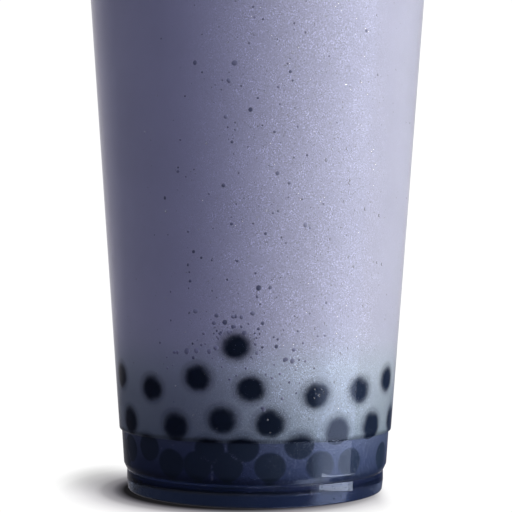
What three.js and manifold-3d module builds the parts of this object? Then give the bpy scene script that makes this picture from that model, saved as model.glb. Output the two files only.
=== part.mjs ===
// Bubble tea in a tall clear plastic cup: the cup, the milk tea up to its level, and the heap of
// tapioca pearls at the bottom. Millimetres, +Z up, the foot ring stands on Z = 0, and the side
// that is seen in the photo faces -Y.
import * as THREE from 'three';
import { mergeVertices } from 'three/addons/utils/BufferGeometryUtils.js';
import Module from 'manifold-3d';

// Cup: driving sizes.
const cupHeight = 170;
const rimRadius = 45;
const footRadius = 30;
const footHeight = 4.8;
const footWall = 1.5;
const footBevel = 0.3;
const footBevelHeight = 2.3;
const floorTop = 4.9;
const floorUnderside = 3.4;
const bandBottomRadius = 30.75;
const bandTopRadius = 31.3;
const ledgeHeight = 13.8;
const ledgeInset = 0.55;
const wallTaper = 0.0772;
const wall = 0.8;
const beadHalfWidth = 1.5;
const beadHalfHeight = 1.8;
const cornerRadius = 2;
const cupSides = 48;
const coreSides = 16;

// Drink and pearls: driving sizes.
const fillHeight = 156;
const gap = 0.3;
const pearlRadius = 3.7;
const heapCoreInset = 4.6;
const heapCoreTop = 27;
const seed = 7;

// Pearls that show at the wall, as [degrees from the front towards +X, height of the centre].
const frontPearls = [
  [-7.0, 34.1],
  [-67.0, 26.8], [-43.7, 24.7], [-21.9, 27.5], [-1.7, 25.3], [23.4, 23.9], [44.0, 24.5], [64.0, 26.4],
  [-60.2, 17.3], [-32.5, 17.2], [-12.5, 18.8], [5.6, 18.2], [33.8, 16.3], [53.0, 16.7], [74.0, 17.1],
  [-64.0, 10.6], [-48.5, 11.7], [-18.2, 12.3], [-4.6, 12.9], [17.5, 13.4],
  [-36.0, 8.9], [-23.5, 8.9], [-11.0, 8.9], [5.9, 8.9], [26.8, 8.9], [41.6, 9.0], [67.1, 9.0],
];

// Rows of pearls round the far side: height, its spread, first and last angle, and the step.
const backRows = [
  { height: 25.4, spread: 1.3, from: 93, to: 272, step: 25 },
  { height: 17.3, spread: 0.9, from: 106, to: 276, step: 25 },
  { height: 9.8, spread: 0.8, from: 90, to: 300, step: 25 },
];

// Pearls lying on the heap, as [degrees, distance from the axis, height]. The first one carries
// the single pearl that lies highest at the front.
const topPearls = [[-7.0, 22.8, 30.4], [95, 18, 29.4], [215, 20, 29.2]];

const radians = THREE.MathUtils.degToRad;
const point = (radius, height) => new THREE.Vector2(radius, height);

// Points on an ellipse of half axes a and b round (x, z), from one angle to another in degrees.
function arc(x, z, a, b, from, to, steps) {
  return Array.from({ length: steps + 1 }, (_, i) => {
    const angle = radians(from + ((to - from) * i) / steps);
    return point(x + a * Math.cos(angle), z + b * Math.sin(angle));
  });
}

// Outer radius of the straight, tapered wall above the ledge.
const wallRadius = (height) => bandTopRadius + ledgeInset + wallTaper * (height - ledgeHeight);

// Radius of the inner wall at a height, down to the top of the corner round the floor.
function innerRadius(height) {
  if (height > ledgeHeight) {
    return wallRadius(height) - wall;
  }
  const share = (height - footHeight) / (ledgeHeight - footHeight);
  return THREE.MathUtils.lerp(bandBottomRadius, bandTopRadius, share) - wall;
}

// Inner wall from the floor up to a height, drawn in by a clearance.
function innerSide(top, clearance) {
  const floor = floorTop + clearance;
  const cornerTop = floorTop + cornerRadius;
  const round = cornerRadius - clearance;
  const side = (height) => innerRadius(height) - clearance;
  return [
    ...arc(side(cornerTop) - round, cornerTop, round, cornerTop - floor, -90, 0, 2),
    point(side(ledgeHeight), ledgeHeight),
    point(side(ledgeHeight + 0.9), ledgeHeight + 0.9),
    point(side(top), top),
  ];
}

function cupProfile() {
  const skirt = footRadius - footWall;
  const beadRadius = rimRadius - beadHalfWidth;
  const beadHeight = cupHeight - beadHalfHeight;
  const inner = innerSide(cupHeight - 0.8, 0);
  const lip = inner[inner.length - 1];
  const bottomRound = 1.3;
  return [
    point(0, floorUnderside),
    ...arc(skirt - 1.2, floorUnderside - 1.2, 1.2, 1.2, 90, 0, 2),
    point(skirt, 0),
    point(footRadius - footBevel - 0.2, 0),
    point(footRadius - footBevel, 0.3),
    point(footRadius, footBevelHeight),
    ...arc(bandBottomRadius - bottomRound, footHeight + bottomRound, bottomRound, bottomRound, -65, 0, 3),
    point(bandTopRadius, ledgeHeight - 0.4),
    point(bandTopRadius + 0.12, ledgeHeight - 0.1),
    point(bandTopRadius + ledgeInset - 0.08, ledgeHeight + 0.1),
    point(wallRadius(ledgeHeight + 0.5), ledgeHeight + 0.5),
    point(wallRadius(beadHeight - beadHalfHeight - 0.4), beadHeight - beadHalfHeight - 0.4),
    ...arc(beadRadius, beadHeight, beadHalfWidth, beadHalfHeight, -60, 90, 4),
    ...arc(lip.x + 0.8, lip.y, 0.8, 0.8, 120, 180, 2),
    ...inner.slice(0, -1).reverse(),
    point(0, floorTop),
  ];
}

function drinkProfile(clearance) {
  return [
    point(0, floorTop + clearance),
    ...innerSide(fillHeight, clearance),
    point(0, fillHeight),
  ];
}

// Core of the heap: a low dome that the pearls sit on and against.
function coreProfile() {
  const side = (height) => point(innerRadius(height) - heapCoreInset, height);
  const shoulder = side(heapCoreTop - 3);
  return [
    point(0, floorTop + gap),
    point(side(floorTop).x - 1.5, floorTop + gap),
    side(floorTop + gap + 2),
    side(ledgeHeight),
    shoulder,
    point(shoulder.x - 4, heapCoreTop),
    point(0, heapCoreTop + 1),
  ];
}

// Repeatable draws between 0 and 1: each state is the last one times 16807, modulo 2^31 - 1.
function makeRandom(start) {
  let state = start;
  return () => {
    state = (state * 16807) % 2147483647;
    return state / 2147483647;
  };
}

// Centres of all pearls: the front ones as seen, then the far rows, then those on top.
function pearlCentres() {
  const random = makeRandom(seed);
  const atWall = frontPearls.map(([angle, height]) => ({ angle, height }));
  for (const row of backRows) {
    for (let angle = row.from; angle < row.to; angle += row.step) {
      atWall.push({
        angle: angle + (random() - 0.5) * 5,
        height: row.height + (random() - 0.5) * 2 * row.spread,
      });
    }
  }
  const reach = (height) => innerRadius(height) - gap - pearlRadius;
  return [
    ...atWall.map(({ angle, height }) => placed(angle, reach(height), height)),
    ...topPearls.map(([angle, distance, height]) => placed(angle, distance, height)),
  ];
}

const placed = (angle, reach, height) => new THREE.Vector3(
  reach * Math.sin(radians(angle)),
  -reach * Math.cos(radians(angle)),
  height,
);

const wasm = await Module();
wasm.setup();

// A closed three.js geometry as a solid that can be joined and cut.
function solid(geometry) {
  const bare = new THREE.BufferGeometry();
  bare.setAttribute('position', geometry.getAttribute('position').clone());
  bare.setIndex(geometry.getIndex());
  const welded = mergeVertices(bare, 1e-4);
  return new wasm.Manifold(new wasm.Mesh({
    numProp: 3,
    vertProperties: new Float32Array(welded.getAttribute('position').array),
    triVerts: new Uint32Array(welded.getIndex().array),
  }));
}

function geometryOf(body) {
  const mesh = body.getMesh();
  const geometry = new THREE.BufferGeometry();
  geometry.setAttribute('position', new THREE.BufferAttribute(new Float32Array(mesh.vertProperties), 3));
  geometry.setIndex(new THREE.BufferAttribute(new Uint32Array(mesh.triVerts), 1));
  return geometry;
}

// A profile turned about the upright axis, with +Z up.
function turned(profile, sides) {
  return new THREE.LatheGeometry(profile, sides).rotateX(Math.PI / 2);
}

function pearlBalls(radius) {
  return pearlCentres().map((centre, i) => {
    const ball = new THREE.SphereGeometry(radius, 7, 5).rotateX(1 + i).rotateZ(2 * i);
    return solid(ball.translate(centre.x, centre.y, centre.z));
  });
}

// The largest of the bodies that a cut leaves.
function largest(body) {
  return body.decompose().reduce((best, next) => (next.volume() > best.volume() ? next : best));
}

function heap(clearance) {
  const core = solid(turned(coreProfile(), coreSides));
  const grown = clearance > 0 ? core.scale([1.02, 1.02, 1.02]).translate([0, 0, -clearance]) : core;
  return wasm.Manifold.union([grown, ...pearlBalls(pearlRadius + clearance)]);
}

const material = (color, roughness, extra = {}) => new THREE.MeshStandardMaterial({
  color,
  roughness,
  metalness: 0,
  ...extra,
});

function named(name, geometry, finish) {
  geometry.computeVertexNormals();
  const mesh = new THREE.Mesh(geometry, finish);
  mesh.name = name;
  return mesh;
}

const clearPlastic = material(0xe9ecf2, 0.08, { transparent: true, opacity: 0.3 });
const milkTea = material(0xa9a8c2, 0.35);
const tapioca = material(0x141821, 0.2);

const part = new THREE.Group();
const pearls = largest(heap(0));
const drink = largest(solid(turned(drinkProfile(gap), cupSides)).subtract(heap(gap)));
part.add(named('cup', geometryOf(solid(turned(cupProfile(), cupSides))), clearPlastic));
part.add(named('drink', geometryOf(drink), milkTea));
part.add(named('pearls', geometryOf(pearls), tapioca));

export default part;
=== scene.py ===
import math

import bpy
import numpy as np
from mathutils import Euler, Matrix, Vector


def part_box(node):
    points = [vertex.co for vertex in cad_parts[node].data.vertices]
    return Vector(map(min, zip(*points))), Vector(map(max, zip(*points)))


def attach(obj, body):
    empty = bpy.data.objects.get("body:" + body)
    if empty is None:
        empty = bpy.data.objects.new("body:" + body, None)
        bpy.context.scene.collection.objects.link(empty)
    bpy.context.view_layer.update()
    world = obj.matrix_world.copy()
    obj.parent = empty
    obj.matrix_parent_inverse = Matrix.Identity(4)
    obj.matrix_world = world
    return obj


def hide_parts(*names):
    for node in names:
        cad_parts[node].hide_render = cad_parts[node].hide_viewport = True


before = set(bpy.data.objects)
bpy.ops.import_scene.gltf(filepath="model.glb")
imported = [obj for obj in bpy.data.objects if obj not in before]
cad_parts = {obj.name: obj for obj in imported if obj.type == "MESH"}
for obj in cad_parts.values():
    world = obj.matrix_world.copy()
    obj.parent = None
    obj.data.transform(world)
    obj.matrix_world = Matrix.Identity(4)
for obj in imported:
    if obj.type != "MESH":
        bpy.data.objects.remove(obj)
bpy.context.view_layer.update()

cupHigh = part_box("cup")[1]
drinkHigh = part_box("drink")[1]

# Everything is in metres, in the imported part's own frame. Angles round the cup are in degrees
# from the front (-Y) towards +X.

cup = {
    "height": cupHigh.z,
    "rimRadius": cupHigh.x,
    "footRadius": 0.030,
    "footHeight": 0.0048,
    "footWall": 0.0015,
    "footBevel": 0.0003,
    "footBevelHeight": 0.0023,
    "floorTop": 0.0049,
    "floorUnderside": 0.0034,
    "bandBottomRadius": 0.03075,
    "bandTopRadius": 0.0313,
    "ledgeHeight": 0.0138,
    "ledgeInset": 0.00055,
    "ledgeRise": 0.0007,
    "taper": 0.0772,
    "wall": 0.0008,
    "cornerRadius": 0.002,
    "beadHalfWidth": 0.0015,
    "beadHalfHeight": 0.0018,
    "around": 256,
}


def buildMesh(name, points, faceSets, smooth=True):
    # One mesh from an array of points and arrays of faces that have 3 or 4 corners each.
    mesh = bpy.data.meshes.new(name)
    corners = np.concatenate([faces.ravel() for faces in faceSets]).astype(np.int32)
    sizes = np.concatenate([np.full(len(faces), faces.shape[1]) for faces in faceSets])
    starts = np.concatenate([[0], np.cumsum(sizes)[:-1]]).astype(np.int32)
    mesh.vertices.add(len(points))
    mesh.vertices.foreach_set("co", np.asarray(points, np.float32).ravel())
    mesh.loops.add(len(corners))
    mesh.loops.foreach_set("vertex_index", corners)
    mesh.polygons.add(len(sizes))
    mesh.polygons.foreach_set("loop_start", starts)
    mesh.update(calc_edges=True)
    mesh.validate()
    if smooth:
        mesh.shade_smooth()
    piece = bpy.data.objects.new(name, mesh)
    bpy.context.scene.collection.objects.link(piece)
    return piece


def copiedFaces(faceSets, copies, pointCount):
    # The faces of one shape, repeated for copies whose points follow one another.
    shift = (np.arange(copies) * pointCount)[:, None, None]
    return [(faces[None] + shift).reshape(-1, faces.shape[1]) for faces in faceSets]


def turned(profile, around):
    # Profile point (r, z) at turn t goes to (r sin t, -r cos t, z). The first and last point of
    # the profile lie on the axis and become single poles.
    turns = np.arange(around) * 2 * np.pi / around
    rings = profile[1:-1]
    x = rings[:, 0, None] * np.sin(turns)
    y = -rings[:, 0, None] * np.cos(turns)
    z = np.repeat(rings[:, 1, None], around, axis=1)
    body = np.stack([x, y, z], axis=-1).reshape(-1, 3)
    points = np.concatenate([body, [[0, 0, profile[0, 1]], [0, 0, profile[-1, 1]]]])
    row = np.arange(len(rings) - 1)[:, None] * around
    here = np.arange(around)[None, :]
    after = (here + 1) % around
    quads = np.stack([row + here, row + after, row + around + after, row + around + here], axis=-1)
    first, last = len(body), len(body) + 1
    end = (len(rings) - 1) * around
    start = np.stack([np.full(around, first), after[0], here[0]], axis=-1)
    finish = np.stack([np.full(around, last), end + here[0], end + after[0]], axis=-1)
    return points, [quads.reshape(-1, 4), start, finish]


def roundedOutline(corners, longest, arcSteps=6):
    # Corners are (r, z, rounding). Each one becomes an arc that touches both of its sides, with a
    # point just before and after it that keeps the shading of the straight stretches flat. Those
    # are cut into steps no longer than longest.
    spots = np.array([corner[:2] for corner in corners], float)
    outline = [spots[:1]]
    for i in range(1, len(corners) - 1):
        back = spots[i - 1] - spots[i]
        on = spots[i + 1] - spots[i]
        backLength, onLength = np.linalg.norm(back), np.linalg.norm(on)
        back, on = back / backLength, on / onLength
        half = math.acos(np.clip(np.dot(back, on), -1, 1)) / 2
        rounding = corners[i][2]
        if rounding == 0 or half > 1.5:
            outline.append(spots[i : i + 1])
            continue
        reach = min(rounding / math.tan(half), 0.48 * backLength, 0.48 * onLength)
        middle = back + on
        middle /= np.linalg.norm(middle)
        centre = spots[i] + middle * reach / math.cos(half)
        first = spots[i] + back * reach - centre
        final = spots[i] + on * reach - centre
        share = np.linspace(0, 1, arcSteps + 1)[:, None]
        sweep = math.pi - 2 * half
        arc = (np.sin((1 - share) * sweep) * first + np.sin(share * sweep) * final) / math.sin(sweep)
        before = spots[i] + back * min(1.15 * reach + 0.00006, 0.49 * backLength)
        after = spots[i] + on * min(1.15 * reach + 0.00006, 0.49 * onLength)
        outline += [before[None], centre + arc, after[None]]
    outline.append(spots[-1:])
    outline = np.concatenate(outline)
    steps = []
    for a, b in zip(outline[:-1], outline[1:]):
        count = max(1, math.ceil(np.linalg.norm(b - a) / longest))
        share = np.arange(count)[:, None] / count
        steps.append(a + (b - a) * share)
    return np.concatenate(steps + [outline[-1:]])


def wallRadius(height):
    # Outer radius of the straight wall above the ledge.
    return cup["bandTopRadius"] + cup["ledgeInset"] + cup["taper"] * (height - cup["ledgeHeight"])


def innerRadius(height):
    # Inner radius at a height, from the round corner at the floor upwards.
    share = (height - cup["footHeight"]) / (cup["ledgeHeight"] - cup["footHeight"])
    band = cup["bandBottomRadius"] + share * (cup["bandTopRadius"] - cup["bandBottomRadius"])
    step = np.clip((height - cup["ledgeHeight"]) / cup["ledgeRise"], 0, 1)
    return band + step * (wallRadius(height) - band) - cup["wall"]


def cupOutline():
    foot, ledge, bead = cup["footRadius"], cup["ledgeHeight"], cup["rimRadius"] - cup["beadHalfWidth"]
    skirt = foot - cup["footWall"]
    beadLow = cup["height"] - 2 * cup["beadHalfHeight"]
    lip = wallRadius(cup["height"]) - cup["wall"]
    outside = [
        (0, cup["floorUnderside"], 0),
        (skirt, cup["floorUnderside"], 0.0012),
        (skirt, 0, 0.0003),
        (foot - cup["footBevel"], 0, 0.0004),
        (foot, cup["footBevelHeight"], 0.0008),
        (foot, cup["footHeight"] - 0.0002, 0.00012),
        (foot - 0.00018, cup["footHeight"], 0.0001),
        (foot + 0.0002, cup["footHeight"] + 0.0002, 0.0002),
        (cup["bandBottomRadius"], cup["footHeight"] + 0.0013, 0.0014),
        (cup["bandTopRadius"], ledge - 0.0001, 0.00025),
        (wallRadius(ledge), ledge + 0.00012, 0.00035),
        (wallRadius(beadLow), beadLow, 0.0006),
        (cup["rimRadius"] - 0.0002, beadLow + 0.0002, 0.0013),
        (cup["rimRadius"], cup["height"] - cup["beadHalfHeight"], 0.0016),
        (cup["rimRadius"] - 0.0003, cup["height"], 0.0013),
    ]
    inside = [
        (lip, cup["height"], 0.0009),
        (innerRadius(ledge + 0.0008), ledge + 0.0008, 0.0004),
        (innerRadius(ledge), ledge, 0.0004),
        (innerRadius(cup["floorTop"]), cup["floorTop"], cup["cornerRadius"]),
        (0, cup["floorTop"], 0),
    ]
    return roundedOutline(outside + inside, longest=0.004)


# The pearls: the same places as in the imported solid, and the rest of the heap behind them.
pearl = {
    "radius": 0.0037,
    "uneven": 0.03,
    "seed": 7,
    "meridians": 24,
    "parallels": 14,
}

# Pearls at the wall, as (degrees, height in mm).
frontPearls = [
    (-7.0, 34.1),
    (-67.0, 26.8), (-43.7, 24.7), (-21.9, 27.5), (-1.7, 25.3), (23.4, 23.9), (44.0, 24.5), (64.0, 26.4),
    (-60.2, 17.3), (-32.5, 17.2), (-12.5, 18.8), (5.6, 18.2), (33.8, 16.3), (53.0, 16.7), (74.0, 17.1),
    (-64.0, 10.6), (-48.5, 11.7), (-18.2, 12.3), (-4.6, 12.9), (17.5, 13.4),
    (-36.0, 8.9), (-23.5, 8.9), (-11.0, 8.9), (5.9, 8.9), (26.8, 8.9), (41.6, 9.0), (67.1, 9.0),
]
# Rows of pearls round the far side, with heights in mm and angles in degrees.
backRows = [
    {"height": 25.4, "spread": 1.3, "from": 93, "to": 272, "step": 25},
    {"height": 17.3, "spread": 0.9, "from": 106, "to": 276, "step": 25},
    {"height": 9.8, "spread": 0.8, "from": 90, "to": 300, "step": 25},
]
# Rings of pearls inside the heap, in mm.
heapRings = {
    "heights": [8.9, 15.6, 22.3, 28.4],
    "radii": [18.2, 10.8, 3.9],
    "counts": [14, 8, 3],
}


def lehmerDraws(state):
    # Repeatable draws between 0 and 1: each state is the last one times 16807, modulo 2^31 - 1.
    while True:
        state = state * 16807 % 2147483647
        yield state / 2147483647


def pearlPlaces():
    # Centres of the pearls at the wall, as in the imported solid, as an array in metres.
    draws = lehmerDraws(pearl["seed"])
    places = list(frontPearls)
    for row in backRows:
        for angle in np.arange(row["from"], row["to"], row["step"]):
            turn = angle + (next(draws) - 0.5) * 5
            places.append((turn, row["height"] + (next(draws) - 0.5) * 2 * row["spread"]))
    turn, height = np.radians([p[0] for p in places]), np.array([p[1] for p in places]) * 0.001
    reach = innerRadius(height) - pearl["radius"]
    return np.stack([reach * np.sin(turn), -reach * np.cos(turn), height], axis=-1)


def heapPlaces():
    # Centres of the pearls inside the heap: rings on rings, each turned against the one below.
    places = []
    for layer, height in enumerate(heapRings["heights"]):
        for ring, (radius, count) in enumerate(zip(heapRings["radii"], heapRings["counts"])):
            turn = 2 * np.pi * (np.arange(count) + 0.5 * (layer + ring)) / count
            lift = 0.5 * np.sin(5 * turn + layer)
            ringPlaces = [radius * np.sin(turn), -radius * np.cos(turn), height + lift]
            places.append(np.stack(ringPlaces, axis=-1) * 0.001)
    return np.concatenate(places)


def ballGrid(meridians, parallels):
    # A unit ball on a grid of turn and tilt, with one point at each pole.
    tilt = np.pi * np.arange(parallels + 1) / parallels
    profile = np.stack([np.sin(tilt), -np.cos(tilt)], axis=-1)
    return turned(profile, meridians)


def makePearls():
    # Each pearl is the unit ball, scaled a little unevenly and dented by a slow wave:
    # radius * (1 + uneven * sin(3 x + a) * sin(3 y + b)) along its own directions.
    random = np.random.default_rng(pearl["seed"])
    centres = np.concatenate([pearlPlaces(), heapPlaces()])
    ball, faceSets = ballGrid(pearl["meridians"], pearl["parallels"])
    count = len(centres)
    phase = random.uniform(0, 2 * np.pi, (count, 1, 2))
    wave = np.sin(3 * ball[None, :, 0] + phase[..., 0]) * np.sin(3 * ball[None, :, 1] + phase[..., 1])
    squash = 1 - pearl["uneven"] * random.uniform(0, 1, (count, 1, 3))
    size = pearl["radius"] * (1 - pearl["uneven"] * (0.5 + 0.5 * wave))
    points = centres[:, None, :] + ball[None] * squash * size[..., None]
    allFaces = copiedFaces(faceSets, count, len(ball))
    return buildMesh("tapiocaPearls", points.reshape(-1, 3), allFaces)


# The milk tea: fine steps where the pearls show, up to fineTop, and coarse ones above. The last
# four are for its depth over the pearls, in mm: what stands for no pearl near, how fast it grows
# beside a pearl, how wide a seam is, and how deep one can lie.
tea = {
    "level": drinkHigh.z,
    "intoWall": 0.0003,
    "around": 440,
    "fineStep": 0.00036,
    "fineTop": 0.0405,
    "coarseSteps": 36,
    "meniscus": 0.0006,
    "meniscusReach": 0.0009,
    "underLevel": 0.001,
    "levelAround": 160,
    "noPearl": 9.0,
    "besidePearl": 1.6,
    "seamWidth": 0.24,
    "seamDepth": 4.5,
}


def teaOutline():
    # From the middle of the floor, round its corner, up the inner wall and back in under the level.
    fine = np.arange(cup["floorTop"] + cup["cornerRadius"], tea["fineTop"], tea["fineStep"])
    coarse = np.linspace(tea["fineTop"], tea["level"] - 0.0003, tea["coarseSteps"])
    heights = np.concatenate([fine, coarse])
    radii = innerRadius(heights) + tea["intoWall"]
    corner = np.radians(np.linspace(-90, 0, 9))[:-1]
    rounding = cup["cornerRadius"] + tea["intoWall"]
    cornerR = radii[0] - rounding + rounding * np.cos(corner)
    cornerZ = cup["floorTop"] + cup["cornerRadius"] + rounding * np.sin(corner)
    base = np.linspace(0, cornerR[0], 12)[:-1]
    top = np.linspace(radii[-1] - 0.0009, 0, 8)
    outline = [
        np.stack([base, np.full(len(base), cornerZ[0])], axis=-1),
        np.stack([cornerR, cornerZ], axis=-1),
        np.stack([radii, heights], axis=-1),
        np.stack([top, np.full(len(top), tea["level"] - 0.0013)], axis=-1),
    ]
    return np.concatenate(outline)


def veilDepth(points, centres):
    # How much tea lies between the wall and the nearest pearl, in millimetres: along the way in,
    # it is (distance to the pearl's centre) - sqrt(radius^2 - sideways^2). Beside the pearl it
    # goes on growing with the sideways distance. The seam is 1 where two pearls are as near as
    # each other, and falls off within a quarter of a millimetre.
    flat = np.hypot(points[:, 0], points[:, 1]) + 1e-9
    low = points[:, 2] < cup["floorTop"] + 0.0004
    inward = np.stack([-points[:, 0] / flat, -points[:, 1] / flat, np.zeros(len(points))], axis=-1)
    inward[low] = (0, 0, 1)
    nearest = np.full(len(points), tea["noPearl"])
    second = nearest.copy()
    radius = pearl["radius"]
    for centre in centres:
        away = centre - points
        ahead = (away * inward).sum(axis=1)
        sideways = np.sqrt(np.maximum((away**2).sum(axis=1) - ahead**2, 0))
        cap = np.sqrt(np.maximum(radius**2 - sideways**2, 0))
        depth = (ahead - cap + tea["besidePearl"] * np.maximum(sideways - radius, 0)) * 1000
        depth[ahead < 0] = tea["noPearl"]
        second = np.minimum(second, np.maximum(nearest, depth))
        nearest = np.minimum(nearest, depth)
    seam = np.exp(-(((second - nearest) / tea["seamWidth"]) ** 2)) * (nearest < tea["seamDepth"])
    return nearest, seam


def addValues(piece, name, values):
    attribute = piece.data.attributes.new(name, "FLOAT", "POINT")
    attribute.data.foreach_set("value", np.asarray(values, np.float32))


def makeTea():
    points, faceSets = turned(teaOutline(), tea["around"])
    piece = buildMesh("milkTea", points, faceSets)
    centres = np.concatenate([pearlPlaces(), heapPlaces()])
    depth, seam = np.full(len(points), tea["noPearl"]), np.zeros(len(points))
    near = points[:, 2] < tea["fineTop"] + 0.002
    depth[near], seam[near] = veilDepth(points[near], centres)
    seam *= points[:, 2] < cup["ledgeHeight"] + 0.0006
    addValues(piece, "veil", depth)
    addValues(piece, "seam", seam)
    return piece


def makeTeaTop():
    # The level: flat, with a thin edge that climbs the wall by
    # meniscus * exp(-(distance to the wall) / meniscusReach).
    level, rise = tea["level"], tea["meniscus"]
    edge = innerRadius(level) + tea["intoWall"]
    radii = edge * np.linspace(0, 1, 40)
    heights = level - rise + rise * np.exp(-(edge - radii) / tea["meniscusReach"])
    under = (edge - 0.0012) * np.linspace(0, 1, 6)
    outline = [
        np.stack([under, np.full(len(under), level - tea["underLevel"])], axis=-1),
        [[innerRadius(level - rise) + tea["intoWall"] - 0.0001, level - rise]],
        np.stack([radii[::-1], heights[::-1]], axis=-1),
    ]
    return buildMesh("teaLevel", *turned(np.concatenate(outline), tea["levelAround"]))


# The bubbles in the tea against the wall, with sizes in mm apart from how far they reach into it.
bubble = {
    "seed": 11,
    "flat": 0.35,
    "smallest": 0.11,
    "law": 4.0,
    "largest": 0.45,
    "fineFrom": 0.24,
    "spotScale": 1.32,
    "heights": (15.5, 150),
    "clearance": 1.5,
    "intoTea": 0.00006,
}
# The larger ones, as (degrees, height in mm, radius in mm).
bubbleSpots = [
    (-22, 41.4, 0.51), (-24.5, 40.9, 0.23), (-14, 40.5, 0.46), (-15, 38.9, 0.43), (-11, 39.1, 0.5),
    (-8, 40.3, 0.42), (-5, 40.2, 0.39), (-7.5, 38.3, 0.39), (-5, 38.2, 0.27), (-2.5, 38.8, 0.23),
    (-1, 41, 0.5), (2.5, 38.9, 0.35), (1, 37.7, 0.31), (-9.5, 37.1, 0.46), (-13, 36.7, 0.27),
    (-4, 36.9, 0.46), (-19, 36.7, 0.31), (-13.5, 35.7, 0.23), (-20, 34.3, 0.31),
    (-18.5, 34.5, 0.23), (-14.5, 33.8, 0.47), (-26, 33, 0.55), (-22, 33.2, 0.51), (-17, 33, 0.43),
    (-31.5, 32.6, 0.39), (-30, 32.6, 0.32), (-23.5, 34.5, 0.23), (-21.5, 35.3, 0.19),
    (0, 34.6, 0.31), (2.5, 33.9, 0.27), (0.5, 32.8, 0.35), (-1.5, 31.9, 0.23), (-3.5, 29.5, 0.23),
    (-9.5, 27.2, 0.27), (-7, 28, 0.23), (7.5, 34.1, 0.35), (11, 31.4, 0.5), (13.5, 31.1, 0.43),
    (14, 33.4, 0.39), (8, 35.6, 0.27), (17.5, 34.8, 0.27), (18.5, 31, 0.27), (9, 28.4, 0.27),
    (6, 27.5, 0.23), (12.5, 26.6, 0.23), (1, 46.3, 0.5), (5, 46.3, 0.35), (0.5, 44.4, 0.27),
    (1.5, 42.8, 0.19), (14, 40.4, 0.19), (-35, 29.2, 0.24), (-32.5, 29.8, 0.2), (-35, 31.5, 0.24),
    (-39, 37.3, 0.16), (-32.5, 39.3, 0.2), (-24.5, 46.1, 0.19), (-24, 49.5, 0.23),
    (-15.5, 45.6, 0.19), (-10, 47.9, 0.23), (26, 43.2, 0.23),
    (-7, 92.5, 0.6), (-20, 92.9, 0.4), (-9, 89, 0.4), (-10, 81.5, 0.4), (-2, 82.9, 0.4), (-8, 76.3, 0.3),
    (7, 69.9, 0.4), (-11, 67.4, 0.4), (17, 59.4, 0.4), (-33, 65.2, 0.3), (-24, 58, 0.3),
]
# The small ones: how many, and the middle and spread of their angle and height. Most of them are
# in a column up the front and in a cloud over the highest pearl.
bubbleClouds = [
    {"count": 420, "angle": (-6, 8), "height": (36.5, 3.2)},
    {"count": 320, "angle": (6, 14), "height": (33.5, 4.5)},
    {"count": 3200, "angle": (-2, 15), "height": (84, 38)},
    {"count": 120, "angle": (12, 17), "height": (24, 6)},
    {"count": 130, "angle": (152, 14), "height": (38, 6)},
    {"count": 300, "angle": (165, 24), "height": (88, 36)},
    {"count": 90, "angle": (84, 14), "height": (40, 10)},
    {"count": 90, "angle": (-105, 16), "height": (42, 12)},
]


def scattered(spots, clouds, finish, random):
    # Rows of (degrees, height, radius in mm): the named spots, then the clouds. Their radii follow
    # the law smallest * u^(-1 / law) with u drawn evenly between 0 and 1.
    rows = [np.array(spots, float)]
    for cloud in clouds:
        angle = random.normal(*cloud["angle"], cloud["count"])
        height = random.normal(*cloud["height"], cloud["count"])
        size = finish["smallest"] * random.uniform(0.001, 1, cloud["count"]) ** (-1 / finish["law"])
        rows.append(np.stack([angle, height, np.minimum(size, finish["largest"])], axis=-1))
    return np.concatenate(rows)


def bubbleField():
    # Rows of (degrees, height, radius in mm, depth of tea over the nearest pearl in mm), without
    # those that a pearl would touch.
    random = np.random.default_rng(bubble["seed"])
    spots = np.array(bubbleSpots, float) * (1, 1, bubble["spotScale"])
    field = scattered(spots, bubbleClouds, bubble, random)
    low, high = bubble["heights"]
    field = field[(field[:, 1] > low) & (field[:, 1] < high)]
    turn, height = np.radians(field[:, 0]), field[:, 1] * 0.001
    reach = innerRadius(height)
    places = np.stack([reach * np.sin(turn), -reach * np.cos(turn), height], axis=-1)
    depth = veilDepth(places, pearlPlaces())[0]
    return np.column_stack([field, depth])[depth > bubble["clearance"]]


def capGrid(meridians, rings):
    # A shallow cap with a closed underside: (sin tilt, flat * cos tilt).
    tilt = np.linspace(0, np.pi / 2, rings + 1)
    profile = np.stack([np.sin(tilt), np.cos(tilt) * bubble["flat"]], axis=-1)[::-1]
    return turned(np.concatenate([[[0.0, -0.1]], profile]), meridians)


def placedCaps(field, reach, meridians, rings, random):
    # Caps at a reach from the axis, turned to face out of the wall. Value rim runs from 0 in the
    # middle to 1 at the edge, tone tells the caps apart, and veil is the tea over a pearl there.
    turn = np.radians(field[:, 0])
    height, radius = field[:, 1] * 0.001, field[:, 2] * 0.001
    out = np.stack([np.sin(turn), -np.cos(turn), np.zeros(len(turn))], axis=-1)
    across = np.stack([np.cos(turn), np.sin(turn), np.zeros(len(turn))], axis=-1)
    up = np.tile([0.0, 0.0, 1.0], (len(turn), 1))
    base = out * reach[:, None] + up * height[:, None]
    unit, faceSets = capGrid(meridians, rings)
    stretch = random.uniform(0.85, 1.25, len(turn))
    sideways = across[:, None] * (unit[None, :, 0] * radius[:, None])[..., None]
    upward = up[:, None] * (unit[None, :, 1] * (radius * stretch)[:, None])[..., None]
    outward = out[:, None] * (unit[None, :, 2] * np.minimum(radius, 0.00035)[:, None])[..., None]
    points = (base[:, None] + sideways + upward + outward).reshape(-1, 3)
    allFaces = copiedFaces(faceSets, len(turn), len(unit))
    rim = np.tile(np.hypot(unit[:, 0], unit[:, 1]), len(turn))
    tone = np.repeat(random.uniform(0, 1, len(turn)), len(unit))
    veil = np.repeat(field[:, 3], len(unit)) if field.shape[1] > 3 else np.zeros(len(rim))
    return points, allFaces, {"rim": rim, "tone": tone, "veil": veil}


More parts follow.
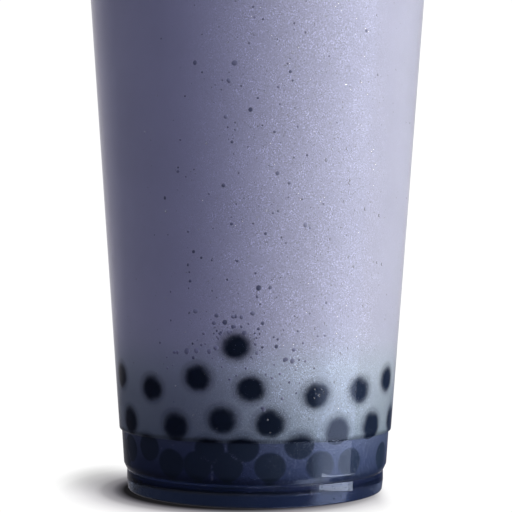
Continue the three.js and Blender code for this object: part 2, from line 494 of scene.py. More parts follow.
def capMesh(name, field, reach, fineFrom, random):
    # The larger caps get more faces than the small ones.
    large = field[:, 2] > fineFrom
    fine = placedCaps(field[large], reach[large], 12, 4, random)
    plain = placedCaps(field[~large], reach[~large], 6, 2, random)
    points = np.concatenate([fine[0], plain[0]])
    faceSets = fine[1] + [faces + len(fine[0]) for faces in plain[1]]
    piece = buildMesh(name, points, faceSets)
    for key in fine[2]:
        addValues(piece, key, np.concatenate([fine[2][key], plain[2][key]]))
    return piece


def makeBubbles():
    random = np.random.default_rng(bubble["seed"] + 1)
    field = bubbleField()
    reach = innerRadius(field[:, 1] * 0.001) + tea["intoWall"] - bubble["intoTea"]
    return capMesh("wallBubbles", field, reach, bubble["fineFrom"], random)


# Beads of water on the outside of the wall, with sizes in mm apart from how far they are sunk in.
drop = {
    "seed": 5,
    "smallest": 0.075,
    "law": 3.2,
    "largest": 0.3,
    "fineFrom": 0.2,
    "heights": (15, 158),
    "sunk": 0.00003,
}
# The larger ones, as (degrees, height in mm, radius in mm).
dropSpots = [
    (22.4, 25.0, 0.24), (24.4, 23.7, 0.32), (23.0, 24.1, 0.2), (25.2, 25.0, 0.2), (22.4, 23.2, 0.19),
    (26.0, 24.1, 0.18), (4.6, 18.9, 0.2), (41.5, 25.6, 0.2), (36.0, 33.5, 0.2), (-40.0, 28.0, 0.18),
]
dropClouds = [
    {"count": 750, "angle": (26, 13), "height": (60, 30)},
    {"count": 160, "angle": (-20, 18), "height": (40, 30)},
    {"count": 380, "angle": (170, 34), "height": (60, 36)},
    {"count": 160, "angle": (95, 18), "height": (50, 32)},
]


def makeDrops():
    random = np.random.default_rng(drop["seed"])
    field = scattered(dropSpots, dropClouds, drop, random)
    low, high = drop["heights"]
    field = field[(field[:, 1] > low) & (field[:, 1] < high)]
    reach = wallRadius(field[:, 1] * 0.001) - drop["sunk"]
    return capMesh("waterDrops", field, reach, drop["fineFrom"], random)


# The froth on the level. A size is drawn as least + more * u^power, given as (least, more, power).
froth = {
    "seed": 23,
    "atWall": 210,
    "atWallSize": (0.0004, 0.0014, 3),
    "atWallReach": 0.0028,
    "rafts": 5,
    "perRaft": 26,
    "raftSpread": 0.0034,
    "raftSize": (0.0004, 0.0012, 2),
    "loose": 130,
    "looseSize": (0.00025, 0.0006, 2),
    "wallGap": 0.0009,
    "sunk": 0.35,
    "overlap": 0.8,
}


def frothSizes(key, count, random):
    least, more, power = froth[key]
    return least + more * random.uniform(0, 1, count) ** power


def frothField(edge):
    # Rows of (x, y, radius): most in a ring along the wall, some in small rafts and some loose.
    random = np.random.default_rng(froth["seed"])
    count = froth["atWall"]
    turn = random.uniform(0, 2 * np.pi, count)
    size = frothSizes("atWallSize", count, random)
    reach = edge - size - froth["atWallReach"] * random.uniform(0, 1, count) ** 2.5
    rows = [np.stack([reach * np.sin(turn), -reach * np.cos(turn), size], axis=-1)]
    for _ in range(froth["rafts"]):
        angle = random.uniform(0, 2 * np.pi)
        out = edge * math.sqrt(random.uniform(0.05, 0.75))
        middle = (out * math.sin(angle), out * math.cos(angle))
        spots = random.normal(0, froth["raftSpread"], (froth["perRaft"], 2)) + middle
        rows.append(np.column_stack([spots, frothSizes("raftSize", froth["perRaft"], random)]))
    angle = random.uniform(0, 2 * np.pi, froth["loose"])
    out = edge * np.sqrt(random.uniform(0, 1, froth["loose"])) * 0.96
    size = frothSizes("looseSize", froth["loose"], random)
    rows.append(np.stack([out * np.sin(angle), out * np.cos(angle), size], axis=-1))
    return np.concatenate(rows)


def makeFroth():
    # Milky bubbles that float on the level, each the upper part of a ball. The largest are placed
    # first, and those that would lie in another one or in the wall are left out.
    edge = innerRadius(tea["level"]) - froth["wallGap"]
    field = frothField(edge)
    field = field[np.argsort(-field[:, 2])]
    kept = []
    for spot in field:
        if math.hypot(spot[0], spot[1]) + spot[2] > edge + 0.0003:
            continue
        apart = [math.hypot(*(spot[:2] - other[:2])) / (spot[2] + other[2]) for other in kept]
        if min(apart, default=1) > froth["overlap"]:
            kept.append(spot)
    kept = np.array(kept)
    unit, faceSets = ballGrid(12, 8)
    level = tea["level"] - tea["meniscus"]
    centres = np.column_stack([kept[:, :2], level - froth["sunk"] * kept[:, 2]])
    points = (centres[:, None] + unit[None] * kept[:, 2, None, None]).reshape(-1, 3)
    piece = buildMesh("froth", points, copiedFaces(faceSets, len(kept), len(unit)))
    addValues(piece, "crown", np.tile(unit[:, 2], len(kept)))
    return piece


def newMaterial(name):
    material = bpy.data.materials.new(name)
    material.use_nodes = True
    tree = material.node_tree
    return material, tree, tree.nodes["Principled BSDF"]


def addNode(tree, kind, **settings):
    node = tree.nodes.new(kind)
    for key, value in settings.items():
        setattr(node, key, value)
    return node


def feed(tree, socket, value):
    # Links the input to a socket, or sets it to a plain value.
    if isinstance(value, bpy.types.NodeSocket):
        tree.links.new(value, socket)
    elif socket.type == "RGBA":
        socket.default_value = (*value, 1)
    else:
        socket.default_value = value


def mathValue(tree, operation, *values):
    node = addNode(tree, "ShaderNodeMath", operation=operation)
    for socket, value in zip(node.inputs, values):
        feed(tree, socket, value)
    return node.outputs[0]


def vectorNode(tree, operation, *values):
    node = addNode(tree, "ShaderNodeVectorMath", operation=operation)
    for socket, value in zip(node.inputs, values):
        feed(tree, socket, value)
    return node


def scaled(tree, colour, factor):
    node = vectorNode(tree, "SCALE", colour)
    feed(tree, node.inputs["Scale"], factor)
    return node.outputs[0]


def mixValue(tree, factor, a, b):
    node = addNode(tree, "ShaderNodeMix", data_type="FLOAT")
    for index, value in ((0, factor), (2, a), (3, b)):
        feed(tree, node.inputs[index], value)
    return node.outputs[0]


def mixColour(tree, factor, a, b, blend="MIX"):
    node = addNode(tree, "ShaderNodeMix", data_type="RGBA", blend_type=blend)
    for index, value in ((0, factor), (6, a), (7, b)):
        feed(tree, node.inputs[index], value)
    return node.outputs[2]


def mapRange(tree, source, fromLow, fromHigh, toLow=0.0, toHigh=1.0, kind="LINEAR"):
    node = addNode(tree, "ShaderNodeMapRange", interpolation_type=kind)
    tree.links.new(source, node.inputs["Value"])
    node.inputs["From Min"].default_value = fromLow
    node.inputs["From Max"].default_value = fromHigh
    node.inputs["To Min"].default_value = toLow
    node.inputs["To Max"].default_value = toHigh
    return node.outputs["Result"]


def rampColour(tree, factor, stops):
    node = addNode(tree, "ShaderNodeValToRGB")
    ramp = node.color_ramp
    while len(ramp.elements) < len(stops):
        ramp.elements.new(0.5)
    for element, (place, colour) in zip(ramp.elements, stops):
        element.position = place
        element.color = (*colour, 1)
    tree.links.new(factor, node.inputs["Fac"])
    return node.outputs["Color"]


def noise(tree, coordinates, scale, detail=3.0, roughness=0.5):
    node = addNode(tree, "ShaderNodeTexNoise")
    tree.links.new(coordinates, node.inputs["Vector"])
    node.inputs["Scale"].default_value = scale
    node.inputs["Detail"].default_value = detail
    node.inputs["Roughness"].default_value = roughness
    return node.outputs["Fac"]


def objectPlace(tree):
    # The piece's own coordinates, whole and by axis.
    place = addNode(tree, "ShaderNodeTexCoord").outputs["Object"]
    split = addNode(tree, "ShaderNodeSeparateXYZ")
    tree.links.new(place, split.inputs[0])
    return place, split.outputs


def attributeValue(tree, name):
    return addNode(tree, "ShaderNodeAttribute", attribute_name=name).outputs["Fac"]


def addBump(tree, shader, height, strength, distance):
    bump = addNode(tree, "ShaderNodeBump")
    bump.inputs["Strength"].default_value = strength
    bump.inputs["Distance"].default_value = distance
    tree.links.new(height, bump.inputs["Height"])
    tree.links.new(bump.outputs["Normal"], shader.inputs["Normal"])


# The tea's finish. Depths of tea over a pearl and the heights of its colour by height are in mm,
# and places along X and Z are in metres.
teaFinish = {
    "lavender": (0.60, 0.606, 0.77),
    "pearlDark": (0.011, 0.017, 0.033),
    "pearlDarkInBand": (0.022, 0.033, 0.055),
    "bandTop": (0.0136, 0.0141),
    "veil": (2.25, 0.65),
    "veilUneven": 0.25,
    "veilNearLedge": (0.013, 0.018, -0.45),
    "veilInBand": (2.3, 1.5, 0.92),
    # Next, a wide darkening round the pearls: partly the pearls seen through the tea, partly painted
    # shade.
    "pearlHaloShade": (6.0, 1.0, 0.34),
    "film": (0.30, 0.33, 0.50),
    "filmShare": 0.32,
    # Painted glints on the lowest band: their colour, their range and the side they lie on.
    "paintedGlint": (0.42, 0.46, 0.62),
    "paintedGlintRange": (0.2, 1.1, 0.5),
    "paintedGlintSide": (-0.002, 0.012),
    # The tea's colour by height: darker and bluer towards the bottom, the heights in mm.
    "colourByHeightTop": 40.0,
    "colourByHeight": [
        (5.0, (0.05, 0.072, 0.128)),
        (8.5, (0.080, 0.108, 0.178)),
        (12.0, (0.145, 0.185, 0.265)),
        (13.6, (0.175, 0.215, 0.295)),
        (14.1, (0.46, 0.56, 0.54)),
        (18.0, (0.60, 0.70, 0.66)),
        (23.0, (0.72, 0.82, 0.77)),
        (29.0, (0.90, 1.00, 0.93)),
        (35.0, (0.98, 1.00, 0.98)),
        (40.0, (1.0, 1.0, 1.0)),
    ],
    # Painted light and shade on the tea below evenAbove: darker on the left, lighter to the right.
    "leftToRight": (-0.012, 0.016, 0.74, 1.14),
    "farRight": (0.018, 0.030, 1.0, 0.80),
    "evenAbove": (0.024, 0.037),
    "grainScale": 5400.0,
    "patchScale": 240.0,
    "grainDepth": (0.30, 0.95),
    "grainSides": [(-0.021, 0.004, 0.05), (0.030, 0.022, 0.1)],
}


def teaColour(tree):
    # Lavender milk tea that turns bluer and darker towards the bottom. Low down it also carries
    # painted light and shade: darker on the left than on the right.
    place, axes = objectPlace(tree)
    top = teaFinish["colourByHeightTop"]
    height = mapRange(tree, axes["Z"], 0.0, top * 0.001)
    colourByHeight = rampColour(tree, height, [(level / top, colour) for level, colour in teaFinish["colourByHeight"]])
    # Painted light and shade below evenAbove: darker on the left, away from the light, lighter to the
    # right, and a little darker again at the far right.
    rising = mapRange(tree, axes["X"], *teaFinish["leftToRight"], "SMOOTHSTEP")
    falling = mapRange(tree, axes["X"], *teaFinish["farRight"], "SMOOTHSTEP")
    across = mathValue(tree, "MULTIPLY", rising, falling)
    upper = mapRange(tree, axes["Z"], *teaFinish["evenAbove"], 0.0, 1.0, "SMOOTHSTEP")
    even = mixValue(tree, upper, across, 1.0)
    swirl = mapRange(tree, noise(tree, place, 60, 4, 0.55), 0.3, 0.7, 0.96, 1.04)
    base = mixColour(tree, 1.0, teaFinish["lavender"], colourByHeight, "MULTIPLY")
    return scaled(tree, base, mathValue(tree, "MULTIPLY", even, swirl))


def teaGrain(tree, place, axes):
    # Fine froth: small dark dots, and light ones that are froth with painted highlights, in patches and
    # mostly up the middle. Returns the light dots, their strength and the factor on the tea's
    # brightness.
    dots = noise(tree, place, teaFinish["grainScale"], 1.0, 0.5)
    patches = noise(tree, place, teaFinish["patchScale"], 7, 0.8)
    strength = mapRange(tree, patches, 0.34, 0.66, *teaFinish["grainDepth"], "SMOOTHSTEP")
    for low, high, least in teaFinish["grainSides"]:
        side = mapRange(tree, axes["X"], low, high, least, 1.0, "SMOOTHSTEP")
        strength = mathValue(tree, "MULTIPLY", strength, side)
    light = mapRange(tree, dots, 0.55, 0.68, 0.0, 1.0, "SMOOTHSTEP")
    deep = mapRange(tree, dots, 0.44, 0.30, 0.0, -0.50, "SMOOTHSTEP")
    swing = mathValue(tree, "ADD", light, deep)
    return light, strength, mathValue(tree, "MULTIPLY_ADD", strength, swing, 1.0)


def pearlsThrough(tree, place, axes, inBand, liquid):
    # The pearls show through where little tea covers them: with a soft, uneven edge above the
    # ledge, and a crisper one in the clearer syrup of the band below it.
    veil = attributeValue(tree, "veil")
    swing = teaFinish["veilUneven"]
    uneven = mapRange(tree, noise(tree, place, 260, 3, 0.6), 0.3, 0.7, -swing, swing)
    low, high, less = teaFinish["veilNearLedge"]
    thinner = mapRange(tree, axes["Z"], low, high, less, 0.0, "SMOOTHSTEP")
    wavering = mathValue(tree, "ADD", mathValue(tree, "ADD", veil, uneven), thinner)
    soft = mapRange(tree, wavering, *teaFinish["veil"], 0.0, 1.0, "SMOOTHSTEP")
    thick, thin, share = teaFinish["veilInBand"]
    crisp = mapRange(tree, veil, thick, thin, 0.0, share, "SMOOTHSTEP")
    # Round them the tea darkens more widely: partly the pearls seen through it, partly painted shade.
    thick, thin, share = teaFinish["pearlHaloShade"]
    pearlHaloShade = mapRange(tree, veil, thick, thin, 0.0, share, "SMOOTHERSTEP")
    hazy = mixColour(tree, mixValue(tree, inBand, pearlHaloShade, 0.0), liquid, teaFinish["pearlDark"])
    dark = mixColour(tree, inBand, teaFinish["pearlDark"], teaFinish["pearlDarkInBand"])
    return mixColour(tree, mixValue(tree, inBand, soft, crisp), hazy, dark)


def milkTeaMaterial():
    material, tree, shader = newMaterial("milkTea")
    place, axes = objectPlace(tree)
    light, strength, grain = teaGrain(tree, place, axes)
    inBand = mapRange(tree, axes["Z"], *teaFinish["bandTop"], 1.0, 0.0)
    colour = pearlsThrough(tree, place, axes, inBand, scaled(tree, teaColour(tree), grain))
    # Threads of milk film where two pearls meet at the wall.
    broken = mapRange(tree, noise(tree, place, 620, 5, 0.7), 0.48, 0.62, 0.0, teaFinish["filmShare"])
    thread = mathValue(tree, "MULTIPLY", attributeValue(tree, "seam"), broken)
    colour = mixColour(tree, thread, colour, teaFinish["film"])
    # Small pale painted glints on the dark lowest band, mostly on its lit right side.
    paintedGlint = inBand
    for share in (light, strength, mapRange(tree, axes["X"], *teaFinish["paintedGlintSide"])):
        paintedGlint = mathValue(tree, "MULTIPLY", paintedGlint, share)
    low, high, most = teaFinish["paintedGlintRange"]
    paintedGlint = mapRange(tree, paintedGlint, low, high, 0.0, most)
    colour = mixColour(tree, paintedGlint, colour, teaFinish["paintedGlint"])
    tree.links.new(colour, shader.inputs["Base Color"])
    shader.inputs["Roughness"].default_value = 0.5
    shader.inputs["Specular IOR Level"].default_value = 0.0
    return material


def teaLevelMaterial():
    # The level: the tea's own colour, glossy and faintly rippled.
    material, tree, shader = newMaterial("teaLevel")
    tree.links.new(teaColour(tree), shader.inputs["Base Color"])
    ripple = noise(tree, objectPlace(tree)[0], 90, 2)
    addBump(tree, shader, ripple, 0.15, 0.0004)
    shader.inputs["Roughness"].default_value = 0.12
    return material


def tapiocaMaterial():
    # Cooked tapioca: nearly black, mottled and glossy.
    material, tree, shader = newMaterial("tapioca")
    mottle = noise(tree, objectPlace(tree)[0], 420, 4)
    share = mapRange(tree, mottle, 0.35, 0.7)
    colour = mixColour(tree, share, (0.010, 0.014, 0.022), (0.03, 0.034, 0.05))
    tree.links.new(colour, shader.inputs["Base Color"])
    shader.inputs["Roughness"].default_value = 0.18
    addBump(tree, shader, mottle, 0.2, 0.0002)
    return material


def bubbleMaterial():
    # Dark in the middle, where one looks into the bubble, with a paler edge, and as dark as a
    # pearl where it lies over one.
    material, tree, shader = newMaterial("wallBubble")
    dark = mixColour(tree, attributeValue(tree, "tone"), (0.15, 0.16, 0.245), (0.38, 0.39, 0.54))
    edge = mapRange(tree, attributeValue(tree, "rim"), 0.6, 1.0, 0.0, 0.65, "SMOOTHSTEP")
    colour = mixColour(tree, edge, dark, (0.50, 0.51, 0.67))
    over = mapRange(tree, attributeValue(tree, "veil"), *teaFinish["veil"], 0.0, 1.0, "SMOOTHSTEP")
    colour = mixColour(tree, over, colour, teaFinish["pearlDark"])
    tree.links.new(colour, shader.inputs["Base Color"])
    shader.inputs["Roughness"].default_value = 0.3
    shader.inputs["Specular IOR Level"].default_value = 0.0
    return material


def frothMaterial():
    # Thin milky skins: paler at the crown, the tea's own colour at the foot.
    material, tree, shader = newMaterial("froth")
    place = objectPlace(tree)[0]
    skin = mapRange(tree, noise(tree, place, 900, 3), 0.35, 0.65, 0.0, 0.25)
    crown = mapRange(tree, attributeValue(tree, "crown"), 0.3, 1.0, 0.0, 0.75)
    share = mathValue(tree, "ADD", crown, skin)
    colour = mixColour(tree, share, (0.50, 0.50, 0.66), (0.76, 0.76, 0.88))
    tree.links.new(colour, shader.inputs["Base Color"])
    shader.inputs["Roughness"].default_value = 0.14
    return material


plasticFinish = {
    "tint": (0.97, 0.975, 0.985),
    # Painted shade in the hollow foot, below footTop: darker on the left than on the right.
    "footShadeLeft": (0.070, 0.082, 0.115),
    "footShadeRight": (0.105, 0.13, 0.215),
    "footSides": (-0.012, 0.012),
    "footTop": (0.0042, 0.0049),
    "ior": 1.5,
    "smooth": 0.02,
    "hazy": 0.06,
    "speckScale": 2400.0,
    "speckShare": 0.7,
    "speckSides": [(-0.020, -0.006), (0.029, 0.024)],
    "speckHeight": 0.00007,
}


def speckGroup():
    # Fine beads of moisture: a small round rise in some cells of a Voronoi pattern.
    group = bpy.data.node_groups.new("moistSpecks", "ShaderNodeTree")
    faces = group.interface
    faces.new_socket("Vector", in_out="INPUT", socket_type="NodeSocketVector")
    faces.new_socket("Scale", in_out="INPUT", socket_type="NodeSocketFloat")
    faces.new_socket("Share", in_out="INPUT", socket_type="NodeSocketFloat")
    faces.new_socket("Height", in_out="OUTPUT", socket_type="NodeSocketFloat")
    start = addNode(group, "NodeGroupInput")
    finish = addNode(group, "NodeGroupOutput")
    cells = addNode(group, "ShaderNodeTexVoronoi")
    group.links.new(start.outputs["Vector"], cells.inputs["Vector"])
    group.links.new(start.outputs["Scale"], cells.inputs["Scale"])
    rise = mapRange(group, cells.outputs["Distance"], 0.34, 0.05, 0.0, 1.0, "SMOOTHSTEP")
    split = addNode(group, "ShaderNodeSeparateColor")
    group.links.new(cells.outputs["Color"], split.inputs[0])
    chosen = mathValue(group, "LESS_THAN", split.outputs[0], start.outputs["Share"])
    group.links.new(mathValue(group, "MULTIPLY", rise, chosen), finish.inputs["Height"])
    return group


def lampsPass(tree, shader):
    # Shadow and diffuse rays go straight through, so that what stands inside is lit.
    path = addNode(tree, "ShaderNodeLightPath")
    through = mathValue(tree, "MAXIMUM", path.outputs["Is Shadow Ray"], path.outputs["Is Diffuse Ray"])
    clear = addNode(tree, "ShaderNodeBsdfTransparent")
    mix = addNode(tree, "ShaderNodeMixShader")
    for socket, output in zip(mix.inputs, (through, shader.outputs[0], clear.outputs[0])):
        tree.links.new(output, socket)
    tree.links.new(mix.outputs[0], tree.nodes["Material Output"].inputs["Surface"])


def plasticMaterial():
    # Clear plastic with a polish that isn't quite even. The hollow foot carries painted shade, as dark
    # as it looks with the drink above it, and darker on the left than on the right.
    material, tree, shader = newMaterial("clearPlastic")
    place, axes = objectPlace(tree)
    patches = noise(tree, place, 45, 3)
    rough = mapRange(tree, patches, 0.35, 0.7, plasticFinish["smooth"], plasticFinish["hazy"])
    tree.links.new(rough, shader.inputs["Roughness"])
    above = mapRange(tree, axes["Z"], *plasticFinish["footTop"], 0.0, 1.0, "SMOOTHSTEP")
    sides = mapRange(tree, axes["X"], *plasticFinish["footSides"], 0.0, 1.0, "SMOOTHSTEP")
    footShade = mixColour(tree, sides, plasticFinish["footShadeLeft"], plasticFinish["footShadeRight"])
    tint = mixColour(tree, above, footShade, plasticFinish["tint"])
    tree.links.new(tint, shader.inputs["Base Color"])
    shader.inputs["IOR"].default_value = plasticFinish["ior"]
    shader.inputs["Transmission Weight"].default_value = 1.0
    specks = addNode(tree, "ShaderNodeGroup", node_tree=speckGroup())
    tree.links.new(place, specks.inputs["Vector"])
    specks.inputs["Scale"].default_value = plasticFinish["speckScale"]
    cover = mapRange(tree, noise(tree, place, 110, 3), 0.45, 0.65, 0.0, plasticFinish["speckShare"])
    for low, high in plasticFinish["speckSides"]:
        side = mapRange(tree, axes["X"], low, high, 0.0, 1.0, "SMOOTHSTEP")
        cover = mathValue(tree, "MULTIPLY", cover, side)
    tree.links.new(cover, specks.inputs["Share"])
    addBump(tree, shader, specks.outputs["Height"], 1.0, plasticFinish["speckHeight"])
    lampsPass(tree, shader)
    return material


def waterMaterial():
    # Water: clear, with a faint unevenness in its polish.
    material, tree, shader = newMaterial("water")
    place = objectPlace(tree)[0]
    rough = mapRange(tree, noise(tree, place, 500, 2), 0.3, 0.7, 0.0, 0.04)
    tree.links.new(rough, shader.inputs["Roughness"])
    shader.inputs["Base Color"].default_value = (0.98, 0.985, 1.0, 1)
    shader.inputs["IOR"].default_value = 1.33
    shader.inputs["Transmission Weight"].default_value = 1.0
    lampsPass(tree, shader)
    return material


def finished(piece, material):
    piece.data.materials.append(material)
    print(piece.name, "has", len(piece.data.polygons), "faces")
    return piece


cupShell = finished(buildMesh("cupShell", *turned(cupOutline(), cup["around"])), plasticMaterial())
milkTea = finished(makeTea(), milkTeaMaterial())
teaLevel = finished(makeTeaTop(), teaLevelMaterial())
pearls = finished(makePearls(), tapiocaMaterial())
bubbles = finished(makeBubbles(), bubbleMaterial())
drops = finished(makeDrops(), waterMaterial())
foam = finished(makeFroth(), frothMaterial())

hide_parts("cup")
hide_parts("drink")
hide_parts("pearls")
for piece, slot in (
    (cupShell, "clear_plastic"),
    (drops, "clear_plastic"),
    (milkTea, "milk_tea"),
    (teaLevel, "milk_tea"),
    (bubbles, "milk_tea"),
    (foam, "milk_tea"),
    (pearls, "tapioca"),
):
    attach(piece, "root")

# The floor, the light and the camera.
studio = {
    "floorSize": 3.0,
    "shadowReach": (0.0265, 0.042),
    "shadowCentre": (-0.0036, -0.0040, 0),
    "litSide": (0.0262, 0.0310),
    "litShare": 0.85,
    "longScale": (2.2, 1.0, 1.0),
    "longCentre": (-0.0836, 0.010, 0),
    "longReach": (0.003, 0.028),
    "longShare": 0.40,
    "underCup": 0.0283,
    "underColour": (0.05, 0.08, 0.17),
    "underGlow": (0.42, 0.44, 0.62),
    "white": (1.05, 1.05, 1.05),
    "unit": 8.0,
}
# The floor's painted shadow: its brightness from the foot outwards, as a share of the shadow's reach.
shadowStops = [
    (0.0, (0.012, 0.0115, 0.013)),
    (0.045, (0.05, 0.048, 0.055)),
    (0.12, (0.13, 0.125, 0.14)),
    (0.19, (0.25, 0.242, 0.262)),
    (0.32, (0.39, 0.38, 0.40)),
    (0.39, (0.54, 0.53, 0.55)),
    (0.46, (0.65, 0.64, 0.66)),
    (0.56, (0.75, 0.74, 0.76)),
    (0.65, (0.84, 0.83, 0.845)),
    (0.77, (0.92, 0.915, 0.925)),
    (1.0, (1.05, 1.05, 1.05)),
]
# Light that falls on the set, by azimuth: a broad window at the right, a fill at the left and
# one behind. Each is (radiance, azimuth of the peak, width towards smaller, towards larger).
windows = [
    ((6.4, 6.4, 0.0), 85, 35, 6),
    ((0.0, 0.0, 5.6), 83, 40, 6),
    ((0.66, 0.66, 0.82), -95, 40, 40),
    ((1.35, 1.35, 1.5), 180, 38, 38),
]
# What polished surfaces mirror, by azimuth, below the level of the eye and above it.
mirroredLow = [
    (-180, (0.24, 0.23, 0.25)),
    (-160, (0.16, 0.155, 0.17)),
    (-140, (0.045, 0.045, 0.055)),
    (-120, (0.02, 0.02, 0.025)),
    (-95, (0.02, 0.02, 0.03)),
    (20, (0.02, 0.03, 0.05)),
    (48, (0.12, 0.16, 0.33)),
    (56, (1.00, 1.25, 2.00)),
    (63, (1.50, 1.80, 2.70)),
    (88.5, (1.50, 1.80, 2.70)),
    (90, (0.15, 0.24, 0.62)),
    (110, (0.05, 0.08, 0.20)),
    (140, (0.02, 0.035, 0.10)),
    (165, (0.10, 0.11, 0.16)),
    (180, (0.24, 0.23, 0.25)),
]
mirroredHigh = [
    (-180, (0.60, 0.59, 0.62)),
    (-150, (0.52, 0.50, 0.53)),
    (-132, (0.32, 0.31, 0.34)),
    (-115, (0.09, 0.09, 0.10)),
    (-95, (0.03, 0.03, 0.04)),
    (15, (0.03, 0.04, 0.06)),
    (40, (0.10, 0.13, 0.26)),
    (62, (0.60, 0.70, 1.10)),
    (84, (0.70, 0.80, 1.20)),
    (92, (0.28, 0.29, 0.40)),
    (110, (0.22, 0.23, 0.30)),
    (140, (0.34, 0.35, 0.44)),
    (180, (0.60, 0.59, 0.62)),
]


def makeFloor():
    # A pale floor that meets the backdrop without an edge. Round the foot it lies in a soft painted
    # shadow that is darkest at the front left, and a wider, fainter painted one lies out to the left.
    size = studio["floorSize"] / 2
    corners = np.array([[-size, -size, 0], [size, -size, 0], [size, size, 0], [-size, size, 0]])
    floor = buildMesh("floor", corners, [np.array([[0, 1, 2, 3]])], smooth=False)
    material, tree, shader = newMaterial("floor")
    tree.nodes.remove(shader)
    place, axes = objectPlace(tree)
    away = vectorNode(tree, "DISTANCE", place, studio["shadowCentre"]).outputs["Value"]
    near = rampColour(tree, mapRange(tree, away, *studio["shadowReach"]), shadowStops)
    stretched = vectorNode(tree, "MULTIPLY", place, studio["longScale"]).outputs[0]
    far = vectorNode(tree, "DISTANCE", stretched, studio["longCentre"]).outputs["Value"]
    long = mapRange(tree, far, *studio["longReach"], studio["longShare"], 0.0, "SMOOTHSTEP")
    shadow = mixColour(tree, long, near, (0.0, 0.0, 0.0))
    litSide = mapRange(tree, axes["X"], *studio["litSide"], 0.0, studio["litShare"], "SMOOTHSTEP")
    around = mixColour(tree, litSide, shadow, studio["white"])
    # Painted light under the cup, for what gets through the foot: a dark blue shade where it is seen,
    # and a faint glow for diffuse rays that shines on the tea's bottom.
    middle = vectorNode(tree, "LENGTH", place).outputs["Value"]
    under = mapRange(tree, middle, studio["underCup"], studio["underCup"] - 0.0008)
    seen = mixColour(tree, under, around, studio["underColour"])
    given = mixColour(tree, under, (0.02, 0.02, 0.025), studio["underGlow"])
    path = addNode(tree, "ShaderNodeLightPath")
    glow = addNode(tree, "ShaderNodeEmission")
    tree.links.new(mixColour(tree, path.outputs["Is Diffuse Ray"], seen, given), glow.inputs["Color"])
    tree.links.new(glow.outputs[0], tree.nodes["Material Output"].inputs["Surface"])
    material.cycles.emission_sampling = "NONE"
    floor.data.materials.append(material)
    floor.visible_glossy = False


def squareLight(name, place, aim, size, radiance, hidden):
    # A rectangular lamp of a given radiance: power = pi * area * radiance.
    lamp = bpy.data.lights.new(name, "AREA")
    lamp.shape = "RECTANGLE"
    lamp.size, lamp.size_y = size
    lamp.energy = math.pi * size[0] * size[1] * radiance
    light = bpy.data.objects.new(name, lamp)
    bpy.context.scene.collection.objects.link(light)
    light.location = place
    light.rotation_euler = (Vector(aim) - Vector(place)).to_track_quat("-Z", "Y").to_euler()
    for ray in ("camera", *hidden):
        setattr(light, "visible_" + ray, False)
    return light


def aimed(azimuth, lift, distance):
    # A place seen from the cup's middle at an azimuth and an elevation.
    turn, up = math.radians(azimuth), math.radians(lift)
    flat = distance * math.cos(up)
    return flat * math.sin(turn), -flat * math.cos(turn), cupMiddle[2] + distance * math.sin(up)


# A large lamp over the cup, a small one for the glints, and a card that shines on the foot.
cupMiddle = (0, 0, 0.06)
footCard = {
    "place": (0.0291, -0.0278, 0.0014),
    "aim": (0.0172, -0.0246, 0.0036),
    "size": (0.0155, 0.0027),
    "radiance": 4.6,
    "colour": (0.82, 0.92, 1.16),
}


def makeLights():
    squareLight("topSoftbox", (0, 0, 1.1), (0, 0, 0), (0.35, 0.35), 5.0, ("glossy",))
    squareLight("glint", aimed(66, 48, 0.8), cupMiddle, (0.2, 0.2), 80.0, ("diffuse",))
    card = squareLight("footCard", footCard["place"], footCard["aim"], footCard["size"],
                       footCard["radiance"], ("diffuse",))
    card.data.color = footCard["colour"]


def windowLight(azimuth):
    # Sum of the windows at an azimuth: each peak * exp(-((azimuth - centre) / width)^2).
    total = np.zeros(3)
    for radiance, centre, low, high in windows:
        away = (azimuth - centre + 180) % 360 - 180
        total += np.array(radiance) * math.exp(-((away / (low if away < 0 else high)) ** 2))
    return total


def azimuthRamp(tree, azimuth, stops):
    unit = studio["unit"]
    places = [((angle + 180) / 360, tuple(v / unit for v in colour)) for angle, colour in stops]
    return scaled(tree, rampColour(tree, azimuth, places), unit)


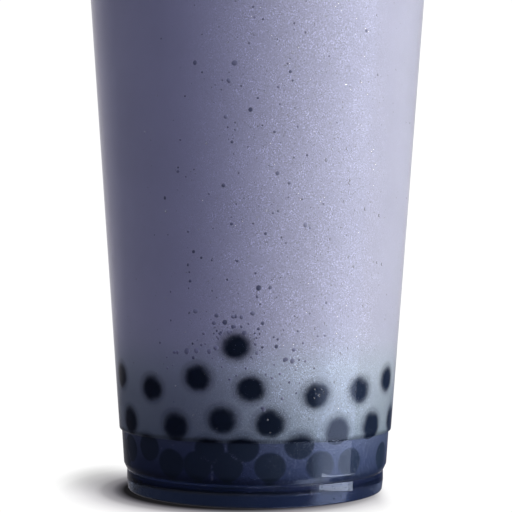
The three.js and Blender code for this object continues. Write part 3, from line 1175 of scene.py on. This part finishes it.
def makeWorld():
    # The camera, and what it sees through clear plastic, meet plain white all round. Diffuse
    # surfaces get the windows, and polished ones mirror their own set of panels.
    world = bpy.data.worlds.new("studio")
    bpy.context.scene.world = world
    world.use_nodes = True
    tree = world.node_tree
    split = addNode(tree, "ShaderNodeSeparateXYZ")
    tree.links.new(addNode(tree, "ShaderNodeTexCoord").outputs["Generated"], split.inputs[0])
    x, y, z = split.outputs
    turn = mathValue(tree, "ARCTAN2", x, mathValue(tree, "MULTIPLY", y, -1.0))
    azimuth = mapRange(tree, turn, -math.pi, math.pi)
    angles = [*range(-180, 0, 20), *range(0, 80, 10), 80, 85, 88, 91, 96, 110, 130, 150, 165, 180]
    lit = azimuthRamp(tree, azimuth, [(angle, windowLight(angle)) for angle in angles])
    low = azimuthRamp(tree, azimuth, mirroredLow)
    upper = azimuthRamp(tree, azimuth, mirroredHigh)
    # Behind the cup the upper panels begin higher.
    behind = mapRange(tree, y, 0.1, 0.5, 0.0, 0.085)
    level = mapRange(tree, mathValue(tree, "SUBTRACT", z, behind), -0.22, -0.10, 0.0, 1.0, "SMOOTHSTEP")
    panels = mixColour(tree, level, low, upper)
    overhead = mapRange(tree, z, 0.8, 0.97, 0.0, 1.0, "SMOOTHSTEP")
    panels = mixColour(tree, overhead, panels, (0.55, 0.56, 0.62))
    path = addNode(tree, "ShaderNodeLightPath")
    rays = (path.outputs["Is Camera Ray"], path.outputs["Is Transmission Ray"])
    colour = mixColour(tree, path.outputs["Is Glossy Ray"], lit, panels)
    colour = mixColour(tree, mathValue(tree, "MAXIMUM", *rays), colour, studio["white"])
    tree.links.new(colour, tree.nodes["Background"].inputs["Color"])


# The camera that took the photo: metres, degrees and pixels of the photo.
photoCamera = {
    "distance": 0.26385,
    "height": 0.04333,
    "pitch": 2.348,
    "roll": 0.28,
    "focalPixels": 1110.0,
    "framePixels": 512,
    "axisPixel": 256.1,
}


def makeCamera():
    lens = bpy.data.cameras.new("camera")
    lens.sensor_width = 36
    lens.lens = 36 * photoCamera["focalPixels"] / photoCamera["framePixels"]
    lens.clip_start = 0.01
    camera = bpy.data.objects.new("camera", lens)
    bpy.context.scene.collection.objects.link(camera)
    camera.location = (0, -photoCamera["distance"], photoCamera["height"])
    shift = photoCamera["axisPixel"] - photoCamera["framePixels"] / 2
    yaw = math.atan(shift / photoCamera["focalPixels"])
    upright = Euler((math.radians(90 + photoCamera["pitch"]), 0, yaw)).to_matrix()
    lean = Matrix.Rotation(math.radians(photoCamera["roll"]), 3, "Z")
    camera.rotation_euler = (upright @ lean).to_euler()
    bpy.context.scene.camera = camera


makeFloor()
makeLights()
makeWorld()
makeCamera()
view = bpy.context.scene.view_settings
view.view_transform = "Standard"
view.look = "None"
print("studio set")
